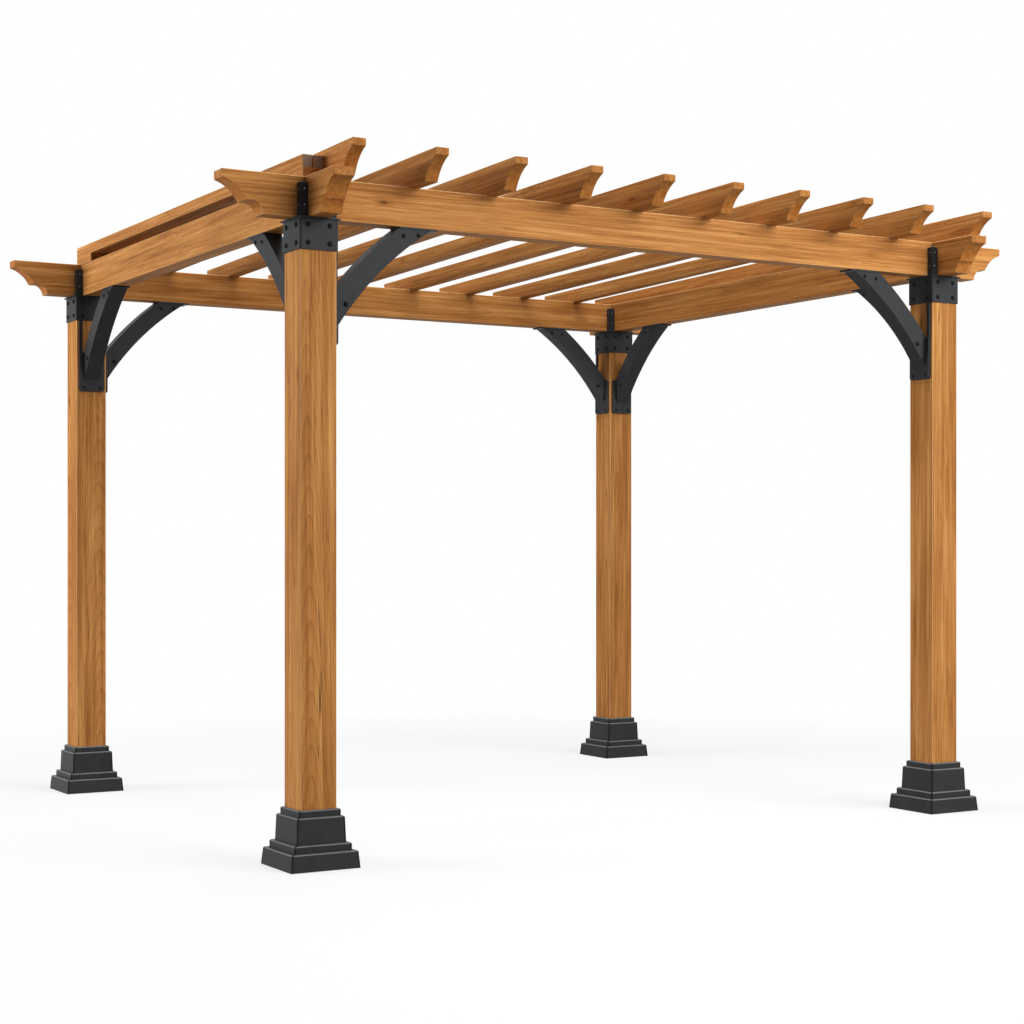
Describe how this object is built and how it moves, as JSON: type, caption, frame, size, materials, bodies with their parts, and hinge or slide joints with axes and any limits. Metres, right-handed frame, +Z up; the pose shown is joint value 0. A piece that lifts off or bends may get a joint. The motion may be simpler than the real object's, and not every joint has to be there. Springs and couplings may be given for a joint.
{
  "type": "wooden pergola",
  "caption": "Free-standing rectangular timber pergola: square posts on stepped base covers, crossing beams with carved tails, open rafters and black steel caps and knee braces.",
  "frame": {"origin": "on the ground, midway between the four posts", "axes": "+X along the long front and back beams, +Y from front to back along the rafters, +Z up"},
  "size_m": [3.65, 3.066, 2.556],
  "materials": {
    "timber": "satin honey-brown stain",
    "bracket_steel": "satin black powder coat",
    "base_cover": "satin black powder coat"
  },
  "bodies": {
    "root": {"post_front_left": "timber", "post_front_right": "timber", "post_back_left": "timber", "post_back_right": "timber", "base_front_left": "base_cover", "base_front_right": "base_cover", "base_back_left": "base_cover", "base_back_right": "base_cover", "cap_front_left": "bracket_steel", "cap_front_right": "bracket_steel", "cap_back_left": "bracket_steel", "cap_back_right": "bracket_steel", "beam_front": "timber", "beam_back": "timber", "beam_left": "timber", "beam_right": "timber", "rafter_01": "timber", "rafter_02": "timber", "rafter_03": "timber", "rafter_04": "timber", "rafter_05": "timber", "rafter_06": "timber", "rafter_07": "timber", "rafter_08": "timber", "rafter_09": "timber", "rafter_10": "timber", "rail_left": "timber", "rail_block_front": "timber", "rail_block_back": "timber", "brace_front_left_x": "bracket_steel", "brace_front_right_x": "bracket_steel", "brace_back_left_x": "bracket_steel", "brace_back_right_x": "bracket_steel", "brace_front_left_y": "bracket_steel", "brace_front_right_y": "bracket_steel", "brace_back_left_y": "bracket_steel", "brace_back_right_y": "bracket_steel"}
  },
  "joints": []
}
